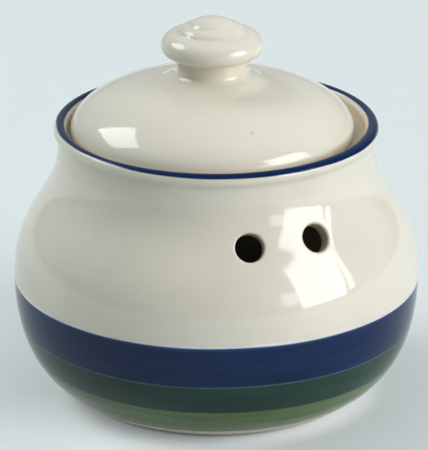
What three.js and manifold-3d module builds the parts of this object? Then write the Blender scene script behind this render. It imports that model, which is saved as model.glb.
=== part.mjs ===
// Garlic keeper in glazed stoneware: a round-bellied jar with vent holes in its shoulder, and a domed lid
// with a stepped knob that rests on a ledge inside the jar's mouth.
//
// Units are millimetres and +Z is up. The origin is at the middle of the foot, on the surface that the jar
// stands on. One pair of vents faces the front, -Y, and the other pair faces the back.

import * as THREE from "three";
import { mergeVertices } from "three/addons/utils/BufferGeometryUtils.js";
import Module from "manifold-3d";

const { degToRad } = THREE.MathUtils;

// Jar: foot and base
const footRadius = 43; // outside of the bare ring that the jar stands on
const footWidth = 5.4;
const footRound = 0.9; // softened edges of the ring
const footRecess = 2.2; // how far the base is raised inside the ring
const floorThickness = 5;

// Jar: belly and shoulder
const wall = 5;
const bellyRadius = 66.5;
const bellyHeight = 39.2; // the widest point, above the table
const underbodyDegrees = 16.7; // rise of the underbody where it leaves the foot
const underbodyReach = 21.5; // how far the underbody keeps to that slope
const bellyReachDown = 11.6; // how far the belly stays upright, below and above its widest point
const bellyReachUp = 25.9;
const shoulderRise = 47.3; // from the widest point to the narrowest point of the neck
const neckRadius = 51.4;
const neckReach = 21.2; // how far the neck stays upright below its narrowest point

// Jar: lip, and the ledge that carries the lid
const lipOverhang = 1.4; // the lip stands out this far past the neck
const lipRise = 3.7; // from the narrowest point of the neck to the middle of the lip's round edge
const mouthWall = 2.8; // the wall around the mouth, measured at the neck
const ledgeDepth = 5.3; // the ledge lies this far below the top of the lip
const ledgeWidth = 8;
const ledgeThickness = 5;
const ledgeCove = 1.4; // inside corner between ledge and mouth wall
const throatRound = 1.1; // edge of the ledge around the throat
const ledgeRootDrop = 14; // the wall starts to thicken into the ledge this far below it
const ledgeBlend = 4;

// Vents: a pair at the front and a pair at the back
const ventDiameter = 9.3;
const ventHeight = 69.2; // middle of the hole on the outside of the shoulder
const ventSpreadDegrees = 11.7; // each side of the middle of its pair
const ventPairDegrees = [-90, 90]; // the middle of each pair, from +X
const ventEdgeRound = 0.8;

// Lid: rim, locating flange and dome
const lidGap = 2.6; // between the lid's edge and the mouth wall, all round
const seatGap = 0.3; // between the lid's rim and the ledge it rests on
const rimHeight = 3.4; // from the seat to where the dome starts
const rimRound = 1.5;
const flangeGap = 2.1; // between the flange and the throat, all round
const flangeWall = 4.4;
const flangeDepth = 7;
const flangeCove = 0.8; // outside corner between flange and seat
const domeRise = 15.8;
const domeAcrossExponent = 2.45; // the dome is a superellipse
const domeUpExponent = 1.75;
const domeWall = 4.6;
const domeCove = 3.2; // inside corner between dome and flange

// Lid: knob, from the dome upwards
const neckFlare = 3.6; // spread of the knob's neck where it grows out of the dome
const neckRise = 7.8; // from the crown of the dome to the crease under the knob
const rollUndercut = 5; // the rolled edge stands out this far past the neck
const creaseDegrees = 75; // how far the underside of the roll turns, down to the crease
const rollUnder = 3.9; // from the crease to the widest point of the roll
const rollOver = 4.4; // from there to the groove around the ring
const rollWidth = 5.8; // across the top of the roll
const ringRise = 2.3;
const ringWidth = 3.6;
const capRise = 2.1;
const capRadius = 7.3;
const knobGroove = 0.35;

// The lid lies a little off the middle of the mouth, by a share of the play that it has there
const lidDriftShare = 0.6;
const lidDriftDegrees = 157.5; // from +X

// Facets, and how far the cutters run past what they cut
const turnSteps = 48;
const ventSteps = 24;
const underbodySteps = 7;
const shoulderSteps = 11;
const domeSteps = 12;
const blendSteps = 4; // short curves that join one surface to the next
const arcError = 0.12; // the most that the facets of an arc stray from it
const overrun = 3;

// Sizes that follow from the ones above
const neckHeight = bellyHeight + shoulderRise;
const mouthRadius = neckRadius - mouthWall;
const lipRound = (neckRadius + lipOverhang - mouthRadius) / 2;
const lipMiddleHeight = neckHeight + lipRise;
const ledgeHeight = lipMiddleHeight + lipRound - ledgeDepth;
const throatRadius = mouthRadius - ledgeWidth;
const floorHeight = footRecess + floorThickness;

const lidRadius = mouthRadius - lidGap;
const flangeRadius = throatRadius - flangeGap;
const knobRadius = capRadius + ringWidth + rollWidth;
const knobNeckRadius = knobRadius - rollUndercut;
const lidDrift = Math.min(lidGap, flangeGap) * lidDriftShare;

// Profile helpers: a profile lies in the plane of (distance from the axis, height)
const at = (radius, height) => new THREE.Vector2(radius, height);

// Points on a round or elliptical arc. Angles are in degrees, 0 points away from the axis and 90 up.
function arc(middle, across, up, from, to) {
  const start = degToRad(from);
  const turn = degToRad(to - from);
  const widestStep = 2 * Math.acos(1 - arcError / Math.max(across, up));
  const steps = Math.ceil(Math.abs(turn) / widestStep);
  return Array.from({ length: steps + 1 }, (_, i) => {
    const angle = start + (turn * i) / steps;
    return at(middle.x + across * Math.cos(angle), middle.y + up * Math.sin(angle));
  });
}

const sweep = (from, leave, arrive, to, steps) =>
  new THREE.CubicBezierCurve(from, leave, arrive, to).getPoints(steps);

// The same curve moved to its left by the thickness of a wall. An end on the axis stays on the axis.
function inwards(curve, thickness) {
  return curve.map((point, i) => {
    const before = curve[Math.max(i - 1, 0)];
    const after = curve[Math.min(i + 1, curve.length - 1)];
    const along = after.clone().sub(before).normalize();
    return at(point.x && point.x - thickness * along.y, point.y + thickness * along.x);
  });
}

// A solid turned about Z, from a profile that starts at the bottom of the axis and ends at the top of it
function revolve(profile, steps) {
  const points = profile.filter((p, i) => i === 0 || p.distanceTo(profile[i - 1]) > Number.EPSILON);
  return new THREE.LatheGeometry(points, steps).rotateX(Math.PI / 2);
}

// Jar
function bodyCurve() {
  const slope = degToRad(underbodyDegrees);
  const foot = at(footRadius, footRound * (1 - Math.cos(slope)));
  const belly = at(bellyRadius, bellyHeight);
  const neck = at(neckRadius, neckHeight);
  const leave = at(foot.x + underbodyReach * Math.cos(slope), foot.y + underbodyReach * Math.sin(slope));
  const underbody = sweep(foot, leave, at(belly.x, belly.y - bellyReachDown), belly, underbodySteps);
  const shoulder = sweep(
    belly,
    at(belly.x, belly.y + bellyReachUp),
    at(neck.x, neck.y - neckReach),
    neck,
    shoulderSteps,
  );
  return [...underbody, ...shoulder.slice(1)];
}

function footProfile() {
  const inside = footRadius - footWidth;
  const round = Math.min(footRound, footRecess / 2);
  return [
    at(0, footRecess),
    ...arc(at(inside - round, footRecess - round), round, round, 90, 0),
    ...arc(at(inside + round, round), round, round, 180, 270),
    at(footRadius - footRound * Math.sin(degToRad(underbodyDegrees)), 0),
  ];
}

function lipProfile() {
  const neck = at(neckRadius, neckHeight);
  const outside = at(neckRadius + lipOverhang, lipMiddleHeight);
  const middle = at(mouthRadius + lipRound, lipMiddleHeight);
  const reach = lipRise / 2;
  return [
    ...sweep(neck, at(neck.x, neck.y + reach), at(outside.x, outside.y - reach), outside, blendSteps),
    ...arc(middle, lipRound, lipRound, 0, 180),
  ];
}

function ledgeProfile(root, below) {
  const cove = at(mouthRadius - ledgeCove, ledgeHeight + ledgeCove);
  const edge = at(throatRadius + throatRound, ledgeHeight - throatRound);
  const under = at(throatRadius, ledgeHeight - ledgeThickness);
  const upWall = root.clone().sub(below).setLength(ledgeBlend).add(root);
  return [
    ...arc(cove, ledgeCove, ledgeCove, 0, -90),
    ...arc(edge, throatRound, throatRound, 90, 180),
    ...sweep(under, at(under.x, under.y - ledgeBlend), upWall, root, blendSteps),
  ];
}

function jarGeometry() {
  const outside = bodyCurve();
  const inside = inwards(outside, wall).filter(
    (p) => p.y > floorHeight && p.y < ledgeHeight - ledgeRootDrop,
  );
  const [below, root] = inside.slice(-2);
  return revolve(
    [
      ...footProfile(),
      ...outside,
      ...lipProfile(),
      ...ledgeProfile(root, below),
      ...inside.reverse(),
      at(0, floorHeight),
    ],
    turnSteps,
  );
}

// The middle of a vent on the outside of the shoulder, and the direction square to the wall there
function ventPlace() {
  const curve = bodyCurve();
  const above = curve.findIndex((p) => p.y > ventHeight);
  const [low, high] = [curve[above - 1], curve[above]];
  const along = high.clone().sub(low);
  const middle = low.clone().addScaledVector(along, (ventHeight - low.y) / along.y);
  return { middle, outwards: at(along.y, -along.x).normalize() };
}

// What a vent takes away: a bore through the wall with its edges rounded over outside and inside
function ventCutter() {
  const bore = ventDiameter / 2;
  const mouth = bore + ventEdgeRound;
  return revolve(
    [
      at(0, -wall - overrun),
      at(mouth, -wall - overrun),
      ...arc(at(mouth, ventEdgeRound - wall), ventEdgeRound, ventEdgeRound, 270, 180),
      ...arc(at(mouth, -ventEdgeRound), ventEdgeRound, ventEdgeRound, 180, 90),
      at(mouth, overrun),
      at(0, overrun),
    ],
    ventSteps,
  );
}

// Places a vent at an angle in degrees round the jar, with the cutter's own axis square to the wall
function ventMatrix(facing) {
  const { middle, outwards } = ventPlace();
  const tilt = new THREE.Matrix4().makeRotationY(Math.atan2(outwards.x, outwards.y));
  const place = new THREE.Matrix4().makeTranslation(middle.x, 0, middle.y);
  return new THREE.Matrix4().makeRotationZ(degToRad(facing)).multiply(place).multiply(tilt);
}

// Lid, measured from its seat. The top of the dome, from its rim in to a given radius:
function domeCurve(innerRadius) {
  const last = Math.acos((innerRadius / lidRadius) ** (domeAcrossExponent / 2));
  return Array.from({ length: domeSteps + 1 }, (_, i) => {
    const angle = (last * i) / domeSteps;
    const across = Math.cos(angle) ** (2 / domeAcrossExponent);
    const radius = i === domeSteps ? innerRadius : lidRadius * across;
    return at(radius, rimHeight + domeRise * Math.sin(angle) ** (2 / domeUpExponent));
  });
}

function knobProfile(foot, beforeFoot) {
  const crown = rimHeight + domeRise;
  const crease = at(knobNeckRadius, crown + neckRise);
  const roll = at(knobRadius, crease.y + rollUnder);
  const ring = at(capRadius + ringWidth, roll.y + rollOver);
  const cap = at(capRadius, ring.y + ringRise);
  const alongDome = foot.clone().sub(beforeFoot).setLength(neckFlare / 2).add(foot);
  return [
    ...sweep(foot, alongDome, at(crease.x, crease.y - neckRise / 2), crease, blendSteps),
    ...arc(at(crease.x, roll.y), rollUndercut, rollUnder, -creaseDegrees, 0),
    ...arc(at(ring.x, roll.y), rollWidth, rollOver, 0, 90),
    at(ring.x, ring.y - knobGroove),
    ...arc(at(cap.x, ring.y), ringWidth, ringRise, 0, 90),
    at(cap.x, cap.y - knobGroove),
    ...arc(at(0, cap.y), capRadius, capRise, 0, 90),
  ];
}

function flangeProfile() {
  const middle = at(flangeRadius - flangeWall / 2, flangeWall / 2 - flangeDepth);
  const seatCorner = at(flangeRadius + flangeCove, -flangeCove);
  const rimCorner = at(lidRadius - rimRound, rimRound);
  return [
    ...arc(middle, flangeWall / 2, flangeWall / 2, 180, 360),
    ...arc(seatCorner, flangeCove, flangeCove, 180, 90),
    ...arc(rimCorner, rimRound, rimRound, -90, 0),
  ];
}

// The hollow under the dome, from the axis out to the inside of the flange
function hollowProfile() {
  const radius = flangeRadius - flangeWall;
  const under = inwards(domeCurve(0), domeWall).filter((p) => p.x < radius - domeCove);
  const [edge, next] = under;
  const onwards = edge.clone().sub(next).setLength(domeCove / 2).add(edge);
  const inside = at(radius, edge.y - domeCove);
  const upFlange = at(radius, inside.y + domeCove / 2);
  return [...under.reverse(), ...sweep(edge, onwards, upFlange, inside, blendSteps)];
}

function lidGeometry() {
  const dome = domeCurve(knobNeckRadius + neckFlare);
  const [beforeKnob, knobFoot] = dome.slice(-2);
  return revolve(
    [...hollowProfile(), ...flangeProfile(), ...dome, ...knobProfile(knobFoot, beforeKnob)],
    turnSteps,
  );
}

// Solids: only these two steps, to a solid and back, need the boolean library
const wasm = await Module();
wasm.setup();

function solid(geometry) {
  const bare = geometry.clone().deleteAttribute("normal").deleteAttribute("uv");
  const merged = mergeVertices(bare);
  return new wasm.Manifold(
    new wasm.Mesh({
      numProp: 3,
      vertProperties: merged.attributes.position.array,
      triVerts: new Uint32Array(merged.index.array),
    }),
  );
}

function geometryOf(cut) {
  const { vertProperties, triVerts } = cut.getMesh();
  const geometry = new THREE.BufferGeometry()
    .setAttribute("position", new THREE.BufferAttribute(vertProperties, 3))
    .setIndex(new THREE.BufferAttribute(triVerts, 1));
  geometry.computeVertexNormals();
  return geometry;
}

function ventedJar() {
  let jar = solid(jarGeometry());
  for (const facing of ventPairDegrees) {
    for (const side of [-1, 1]) {
      const place = ventMatrix(facing + side * ventSpreadDegrees);
      jar = jar.subtract(solid(ventCutter().applyMatrix4(place)));
    }
  }
  return geometryOf(jar);
}

// Glossy cream glaze over pale stoneware
const glaze = { color: "#d9d6c8", roughness: 0.12, metalness: 0 };

function piece(name, geometry, finish) {
  const mesh = new THREE.Mesh(geometry, new THREE.MeshStandardMaterial(finish));
  mesh.name = name;
  return mesh;
}

const jar = piece("jar", ventedJar(), glaze);

const lid = piece("lid", lidGeometry(), glaze);
const drift = at(lidDrift, 0).rotateAround(at(0, 0), degToRad(lidDriftDegrees));
lid.position.set(drift.x, drift.y, ledgeHeight + seatGap);

const garlicKeeper = new THREE.Group();
garlicKeeper.add(jar, lid);

export default garlicKeeper;
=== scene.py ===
"""Garlic keeper in glazed stoneware: a round-bellied jar with vents through its shoulder, and a domed lid
with a stepped knob that rests on a ledge inside the jar's mouth.

Jar and lid are turned forms. Each is one profile, softened as a coat of glaze softens it and turned about
its axis by a node tree, and the vents are collars set into windows of the turned wall. Everything is in
metres, +Z is up, and the front of the jar faces -Y.
"""

import math

import bpy
import numpy as np
from mathutils import Matrix, Vector


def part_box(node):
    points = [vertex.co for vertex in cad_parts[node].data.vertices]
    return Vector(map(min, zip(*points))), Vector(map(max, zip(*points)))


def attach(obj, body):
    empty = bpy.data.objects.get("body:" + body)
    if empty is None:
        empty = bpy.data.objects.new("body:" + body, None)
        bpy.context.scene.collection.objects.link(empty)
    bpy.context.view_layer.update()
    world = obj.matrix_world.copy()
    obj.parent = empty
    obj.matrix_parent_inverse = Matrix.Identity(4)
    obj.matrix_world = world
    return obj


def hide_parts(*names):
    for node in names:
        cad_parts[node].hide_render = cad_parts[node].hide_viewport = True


bl_info = {
    "name": "Garlic Keeper",
    "version": (1, 0, 0),
    "blender": (4, 5, 0),
    "location": "3D View > Sidebar > Keeper",
    "description": "Builds a glazed stoneware garlic keeper with its lid, and a stage to look at it on",
    "category": "Add Mesh",
}

MM = 0.001

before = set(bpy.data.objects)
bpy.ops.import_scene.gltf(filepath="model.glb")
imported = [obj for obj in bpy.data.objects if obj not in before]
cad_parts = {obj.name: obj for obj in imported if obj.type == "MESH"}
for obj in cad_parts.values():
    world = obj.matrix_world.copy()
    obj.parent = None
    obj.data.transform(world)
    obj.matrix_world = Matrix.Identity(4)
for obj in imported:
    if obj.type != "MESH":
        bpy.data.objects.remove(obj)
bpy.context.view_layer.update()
JAR_LOW, JAR_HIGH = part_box("jar")
LID_LOW, LID_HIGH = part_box("lid")


def linear(hex_colour):
    """Turns an sRGB hex colour to the linear red, green, blue and alpha that Blender works in."""
    channels = [int(hex_colour[i : i + 2], 16) / 255 for i in (1, 3, 5)]
    return tuple(c / 12.92 if c <= 0.04045 else ((c + 0.055) / 1.055) ** 2.4 for c in channels) + (1.0,)


def direction(turn, rise):
    """The direction at an angle round from -Y and at another up from the horizon."""
    return Vector((math.sin(turn) * math.cos(rise), -math.cos(turn) * math.cos(rise), math.sin(rise)))


def length(name, description, millimetres):
    """A size in metres, from its default in millimetres."""
    return bpy.props.FloatProperty(
        name=name, description=description, default=millimetres * MM, precision=5, unit="LENGTH"
    )


def angle(name, description, degrees):
    """An angle in radians, from its default in degrees."""
    return bpy.props.FloatProperty(
        name=name, description=description, default=math.radians(degrees), subtype="ANGLE"
    )


def count(name, description, number):
    """A whole number of copies or divisions."""
    return bpy.props.IntProperty(name=name, description=description, default=number, min=1)


def ratio(name, description, number):
    """A number without a unit."""
    return bpy.props.FloatProperty(name=name, description=description, default=number)


def colour(name, description, hex_colour):
    """A colour, from its default as an sRGB hex value."""
    return bpy.props.FloatVectorProperty(
        name=name,
        description=description,
        default=linear(hex_colour),
        size=4,
        min=0.0,
        max=1.0,
        subtype="COLOR",
    )


class KeeperJarSizes(bpy.types.PropertyGroup):
    """Sizes of the jar, from the foot up."""

    foot_radius: length("Foot radius", "Outside of the bare ring that the jar stands on", 43.0)
    foot_width: length("Foot width", "Width of the bare ring", 5.4)
    foot_round: length("Foot round", "Softened edges of the bare ring", 0.9)
    foot_recess: length("Foot recess", "How far the base is raised inside the ring", 2.2)
    floor: length("Floor", "Thickness of the floor", 5.0)
    wall: length("Wall", "Thickness of the wall", 5.0)
    belly_radius: length("Belly radius", "Widest point", (JAR_HIGH.x - JAR_LOW.x) / 2 / MM)
    belly_height: length("Belly height", "Widest point, above the table", 39.2)
    underbody_rise: angle("Underbody rise", "Slope of the underbody where it leaves the foot", 16.7)
    underbody_reach: length("Underbody reach", "How far the underbody keeps to that slope", 21.5)
    belly_reach_down: length("Belly reach down", "How far the belly stays upright below its middle", 11.6)
    belly_reach_up: length("Belly reach up", "How far the belly stays upright above its middle", 25.9)
    shoulder_rise: length("Shoulder rise", "From the widest point to the narrowest of the neck", 47.3)
    neck_radius: length("Neck radius", "Narrowest point of the neck", 51.4)
    neck_reach: length("Neck reach", "How far the neck stays upright below its narrowest point", 21.2)
    neck_line: length("Neck line", "Line turned where the neck meets the shoulder, above the table", 81.6)
    neck_line_depth: length("Neck line depth", "Depth of that line", 0.1)
    neck_line_width: length("Neck line width", "Half of its width", 0.6)
    lip_overhang: length("Lip overhang", "How far the lip stands out past the neck", 1.4)
    lip_rise: length("Lip rise", "From the narrowest point to the middle of the lip's round edge", 3.7)
    mouth_wall: length("Mouth wall", "The wall around the mouth, measured at the neck", 2.8)
    ledge_depth: length("Ledge depth", "How far the ledge lies below the top of the lip", 5.3)
    ledge_width: length("Ledge width", "The ledge that the lid rests on", 8.0)
    ledge_thickness: length("Ledge thickness", "The ledge at its edge", 5.0)
    ledge_cove: length("Ledge cove", "Inside corner between the ledge and the mouth wall", 1.4)
    throat_round: length("Throat round", "Edge of the ledge around the throat", 1.1)
    ledge_root_drop: length("Ledge root", "How far below it the wall starts to thicken into the ledge", 14.0)
    ledge_blend: length("Ledge blend", "Reach of the curves under the ledge", 4.0)
    vent_diameter: length("Vent diameter", "Bore of a vent", 9.3)
    vent_height: length("Vent height", "Middle of a vent on the outside of the shoulder", 69.2)
    vent_spread: angle("Vent spread", "Each side of the middle of its pair", 11.7)
    vent_edge: length("Vent edge", "Rounding of a vent's edges under the glaze", 0.8)


class KeeperLidSizes(bpy.types.PropertyGroup):
    """Sizes of the lid, from the flange up."""

    rim_height: length("Rim height", "From the seat to where the dome starts", 3.4)
    rim_round: length("Rim round", "Lower edge of the rim", 1.5)
    rim_radius: length("Rim radius", "Outside of the lid", 46.0)
    flange_radius: length("Flange radius", "Outside of the flange that keeps the lid in place", 38.5)
    flange_wall: length("Flange wall", "Thickness of the flange", 4.4)
    flange_depth: length("Flange depth", "How far the flange reaches below the seat", 7.0)
    flange_cove: length("Flange cove", "Outside corner between the flange and the seat", 0.8)
    dome_rise: length("Dome rise", "From the rim to the crown of the dome", 15.8)
    dome_across: ratio("Dome across", "Exponent of the dome's superellipse across", 2.45)
    dome_up: ratio("Dome up", "Exponent of the dome's superellipse upwards", 1.75)
    dome_wall: length("Dome wall", "Thickness of the dome", 4.6)
    dome_cove: length("Dome cove", "Inside corner between the dome and the flange", 3.2)
    collar_reach: length("Collar reach", "How far from the knob's neck the dome starts to rise to it", 7.5)
    collar_rise: length("Collar rise", "How far it has risen past its crown where the fillet starts", 1.4)
    collar_slope: angle("Collar slope", "Its slope there", 16.0)
    fillet_across: length("Fillet across", "Width of the fillet around the neck", 2.4)
    fillet_up: length("Fillet up", "Height of the fillet around the neck", 2.6)
    neck_waist: length("Neck waist", "How far the neck draws in under the crease", 0.4)
    neck_rise: length("Neck rise", "From the crown of the dome to the crease under the knob", 7.8)
    roll_undercut: length("Roll undercut", "How far the knob's rolled edge stands out past its neck", 5.0)
    crease: angle("Crease", "How far the underside of the roll turns, down to the crease", 75.0)
    roll_under: length("Roll under", "From the crease to the widest point of the roll", 3.9)
    roll_over: length("Roll over", "From there to the groove around the ring", 4.4)
    roll_width: length("Roll width", "Across the top of the roll", 5.8)
    ring_rise: length("Ring rise", "Height of the ring on the roll", 2.3)
    ring_width: length("Ring width", "Across the top of the ring", 3.6)
    cap_rise: length("Cap rise", "Height of the cap on the ring", 2.1)
    cap_radius: length("Cap radius", "Outside of the cap", 7.3)
    groove: length("Groove", "Depth of the grooves between the steps of the knob", 0.35)


class KeeperSurface(bpy.types.PropertyGroup):
    """How finely the forms are divided, and how far the glaze softens them."""

    columns: count("Columns", "Divisions round the axis", 200)
    vent_cells: count("Vent cells", "Divisions along one side of the window that holds a vent", 11)
    row_turn: angle("Row turn", "A profile gets a row where it has turned this far", 9.0)
    row_gap: length("Row gap", "The longest gap between two rows", 2.2)
    softening: length("Softening", "How far the glaze rounds a corner over", 0.3)
    pooling: length("Pooling", "How far it does so where it pools on top of the knob", 0.6)


class KeeperGlazes(bpy.types.PropertyGroup):
    """Colours of the glazes and of the bare clay, and the heights where the bands meet."""

    cream: colour("Cream", "Cream glaze of the lid, the shoulder and the inside", "#DBD7C6")
    # Thin glaze is also laid on the knob's neck under its roll as painted shade and warm reflected light
    thin: colour("Thin glaze", "Cream glaze where it runs thin and the clay warms it", "#DDBF93")
    halo: colour("Halo", "Paler cream where it runs down to the navy glaze", "#DFDED6")
    navy: colour("Navy", "Navy glaze of the lip and of the upper band", "#022148")
    navy_edge: colour("Navy edge", "Navy glaze where it runs thin", "#1F3B74")
    line: colour("Line", "Thin line where navy and dark green overlap", "#3F5D60")
    green: colour("Dark green", "Dark green glaze of the middle band", "#1C3B32")
    sage: colour("Sage", "Sage glaze of the lower band", "#587147")
    toast: colour("Toast", "Toasted line where the glaze ends above the foot", "#A08C74")
    clay: colour("Clay", "Bare fired clay", "#F8F0E3")
    clay_dark: colour("Clay grain", "Darker grains in the bare clay", "#E3D5BE")
    # Painted shade: darker, browner clay standing in for the shade in the vents' bores and around the mouth
    clay_in_shade: colour("Browner clay", "Clay inside the vents, and in part around the mouth", "#C0B097")
    speck: colour("Speck", "Iron speck in the cream glaze", "#8C8A7C")
    navy_top: length("Navy top", "Height where cream meets navy", 39.75)
    green_top: length("Green top", "Height where navy meets dark green", 25.6)
    sage_top: length("Sage top", "Height where dark green meets sage", 15.4)
    foot_line: length("Foot line", "Height where the glaze ends above the bare foot", 5.4)
    lip_line: length("Lip line", "Height above which the lip is navy", 91.15)
    lip_tilt: length("Lip tilt", "How far the lip's line runs lower on the right than on the left", 1.6)
    lip_inside: length("Lip inside", "Height on the mouth's side above which the lip is navy", 91.85)


class KeeperStageSizes(bpy.types.PropertyGroup):
    """Floor, light and camera."""

    paper: colour("Paper", "Paper that the keeper stands on", "#BFC6C6")
    backdrop: colour("Backdrop", "Light that shines through the paper", "#DAE2E3")
    backlight: ratio("Backlight", "How much of it does", 0.27)
    spilled: ratio("Spilled light", "How much brighter it is where the glaze throws light onto it", 0.2)
    view_turn: angle("View turn", "Direction of the view, from +Y", -22.5)
    view_rise: angle("View rise", "Height of the camera over the horizon", 21.12)
    view_distance: length("View distance", "From the camera to what it looks at", 1214.0)
    view_height: length("View height", "Height of the point that it looks at", 55.7)
    view_shift: length("View shift", "How far that point lies to the right of the jar's axis", -0.737)
    view_roll: angle("View roll", "Tilt of the picture", -0.086)
    window_distance: length("Window distance", "From the keeper to the windows that light it", 5000.0)
    room: colour("Room", "Walls of the room", "#DFE6E8")
    glow_turn: angle("Glow turn", "Where the room is palest, from the camera's direction", -160)
    glow_rise: angle("Glow rise", "How high that is", 62)
    room_dim: ratio("Dim room", "Light of the room behind the camera", 0.07)
    room_pale: ratio("Pale room", "Light of the room behind the keeper", 0.82)
    lens: bpy.props.FloatProperty(name="Lens", description="Focal length", default=295.8, unit="CAMERA")


PROPERTY_GROUPS = {
    "keeper_jar": KeeperJarSizes,
    "keeper_lid": KeeperLidSizes,
    "keeper_surface": KeeperSurface,
    "keeper_glazes": KeeperGlazes,
    "keeper_stage": KeeperStageSizes,
}


# Profiles: a profile is an array of (distance from the axis, height)

CURVE_POINTS = 160  # points on each curve and arc, before the rows are chosen
FINE_STEP = 0.1 * MM  # spacing of a profile's points while it is softened
FADE = 3  # a point no longer counts in the softening this many times its reach away


def arc(middle, across, up, start, end):
    """Points on an arc. Angles are in degrees, 0 points away from the axis and 90 points up."""
    angles = np.radians(np.linspace(start, end, CURVE_POINTS))
    return np.column_stack((middle[0] + across * np.cos(angles), middle[1] + up * np.sin(angles)))


def sweep(start, leave, arrive, end):
    """Points on a Bezier curve."""
    t = np.linspace(0, 1, CURVE_POINTS)[:, None]
    start, leave, arrive, end = (np.array(p, float) for p in (start, leave, arrive, end))
    return (1 - t) ** 3 * start + 3 * (1 - t) ** 2 * t * leave + 3 * (1 - t) * t**2 * arrive + t**3 * end


def directions(path):
    """Unit vectors along a profile, one for each of its points."""
    along = np.gradient(path, axis=0)
    return along / np.linalg.norm(along, axis=1)[:, None]


def inwards(path, thickness):
    """The same profile moved to its left by the thickness of a wall."""
    along = directions(path)
    return path + thickness * np.column_stack((-along[:, 1], along[:, 0]))


def distances(path):
    """How far along a profile each of its points lies."""
    return np.concatenate(([0.0], np.cumsum(np.linalg.norm(np.diff(path, axis=0), axis=1))))


def points_at(path, wanted):
    """The points of a profile at the wanted distances along it."""
    along = distances(path)
    return np.column_stack([np.interp(wanted, along, path[:, axis]) for axis in (0, 1)])


def soften(path, reach):
    """Rounds every corner of a profile the way a coat of glaze does. Both ends lie on the axis."""
    total = distances(path)[-1]
    even = points_at(path, np.linspace(0, total, round(total / FINE_STEP) + 1))
    pad = math.ceil(FADE * reach / FINE_STEP)
    mirror = np.array([-1, 1])
    padded = np.concatenate((even[pad:0:-1] * mirror, even, even[-2 : -pad - 2 : -1] * mirror))
    weights = np.exp(-0.5 * (np.arange(-pad, pad + 1) * FINE_STEP / reach) ** 2)
    weights /= weights.sum()
    soft = np.column_stack([np.convolve(padded[:, axis], weights, "valid") for axis in (0, 1)])
    soft[[0, -1], 0] = 0.0
    return soft


def rows_between(path, start, end, surface):
    """Distances along a profile for its rows: close together where it turns, and never too far apart."""
    along = distances(path)
    heading = directions(path)
    facing = np.unwrap(np.arctan2(heading[:, 1], heading[:, 0]))
    turned = np.concatenate(([0.0], np.cumsum(np.abs(np.diff(facing)))))
    effort = turned / surface.row_turn + along / surface.row_gap
    first, last = np.interp((start, end), along, effort)
    rows = max(round(last - first), 1)
    return np.interp(np.linspace(first, last, rows + 1), effort, along)


# The jar's profile, from the middle of its base out, up the outside, over the lip and down to its floor


def body_outside(jar):
    """Underbody, belly, shoulder and neck."""
    slope = jar.underbody_rise
    foot = (jar.foot_radius, jar.foot_round * (1 - math.cos(slope)))
    leave = (foot[0] + jar.underbody_reach * math.cos(slope), foot[1] + jar.underbody_reach * math.sin(slope))
    belly = (jar.belly_radius, jar.belly_height)
    neck = (jar.neck_radius, jar.belly_height + jar.shoulder_rise)
    underbody = sweep(foot, leave, (belly[0], belly[1] - jar.belly_reach_down), belly)
    over_belly = (belly[0], belly[1] + jar.belly_reach_up)
    shoulder = sweep(belly, over_belly, (neck[0], neck[1] - jar.neck_reach), neck)
    return np.concatenate((underbody, shoulder[1:]))


def with_neck_line(jar, outside):
    """The outside with the line that is turned where the neck meets the shoulder."""
    depth = jar.neck_line_depth * np.exp(-(((outside[:, 1] - jar.neck_line) / jar.neck_line_width) ** 2))
    return np.column_stack((outside[:, 0] - depth, outside[:, 1]))


def foot_profile(jar):
    """The recessed base and the ring around it."""
    inside = jar.foot_radius - jar.foot_width
    radius = min(jar.foot_round, jar.foot_recess / 2)
    return [
        [(0, jar.foot_recess)],
        arc((inside - radius, jar.foot_recess - radius), radius, radius, 90, 0),
        arc((inside + radius, radius), radius, radius, 180, 270),
        [(jar.foot_radius - jar.foot_round * math.sin(jar.underbody_rise), 0)],
    ]


def lip_middle(jar):
    """Centre and radius of the lip's round edge."""
    mouth = jar.neck_radius - jar.mouth_wall
    radius = (jar.neck_radius + jar.lip_overhang - mouth) / 2
    return (mouth + radius, jar.belly_height + jar.shoulder_rise + jar.lip_rise), radius


def ledge_height(jar):
    """Height of the ledge that the lid rests on."""
    middle, radius = lip_middle(jar)
    return middle[1] + radius - jar.ledge_depth


def lip_profile(jar):
    """The lip, out of the neck and over to the mouth wall."""
    middle, radius = lip_middle(jar)
    neck = (jar.neck_radius, jar.belly_height + jar.shoulder_rise)
    outside = (jar.neck_radius + jar.lip_overhang, middle[1])
    reach = jar.lip_rise / 2
    return [
        sweep(neck, (neck[0], neck[1] + reach), (outside[0], outside[1] - reach), outside),
        arc(middle, radius, radius, 0, 180),
    ]


def ledge_profile(jar, root, up_wall):
    """The ledge inside the mouth, and its underside down to where the wall takes over."""
    mouth = jar.neck_radius - jar.mouth_wall
    throat = mouth - jar.ledge_width
    height = ledge_height(jar)
    under = (throat, height - jar.ledge_thickness)
    cove, edge = jar.ledge_cove, jar.throat_round
    return [
        arc((mouth - cove, height + cove), cove, cove, 0, -90),
        arc((throat + edge, height - edge), edge, edge, 90, 180),
        sweep(under, (throat, under[1] - jar.ledge_blend), root + up_wall * jar.ledge_blend, root),
    ]


def jar_profile(jar):
    """The whole profile of the jar, before it is softened."""
    outside = body_outside(jar)
    inside = inwards(outside, jar.wall)
    floor = jar.foot_recess + jar.floor
    root = ledge_height(jar) - jar.ledge_root_drop
    inside = inside[(inside[:, 1] > floor) & (inside[:, 1] < root)]
    return np.concatenate(
        [
            *foot_profile(jar),
            with_neck_line(jar, outside),
            *lip_profile(jar),
            *ledge_profile(jar, inside[-1], directions(inside)[-1]),
            inside[::-1],
            [(0, floor)],
        ]
    )


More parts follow.
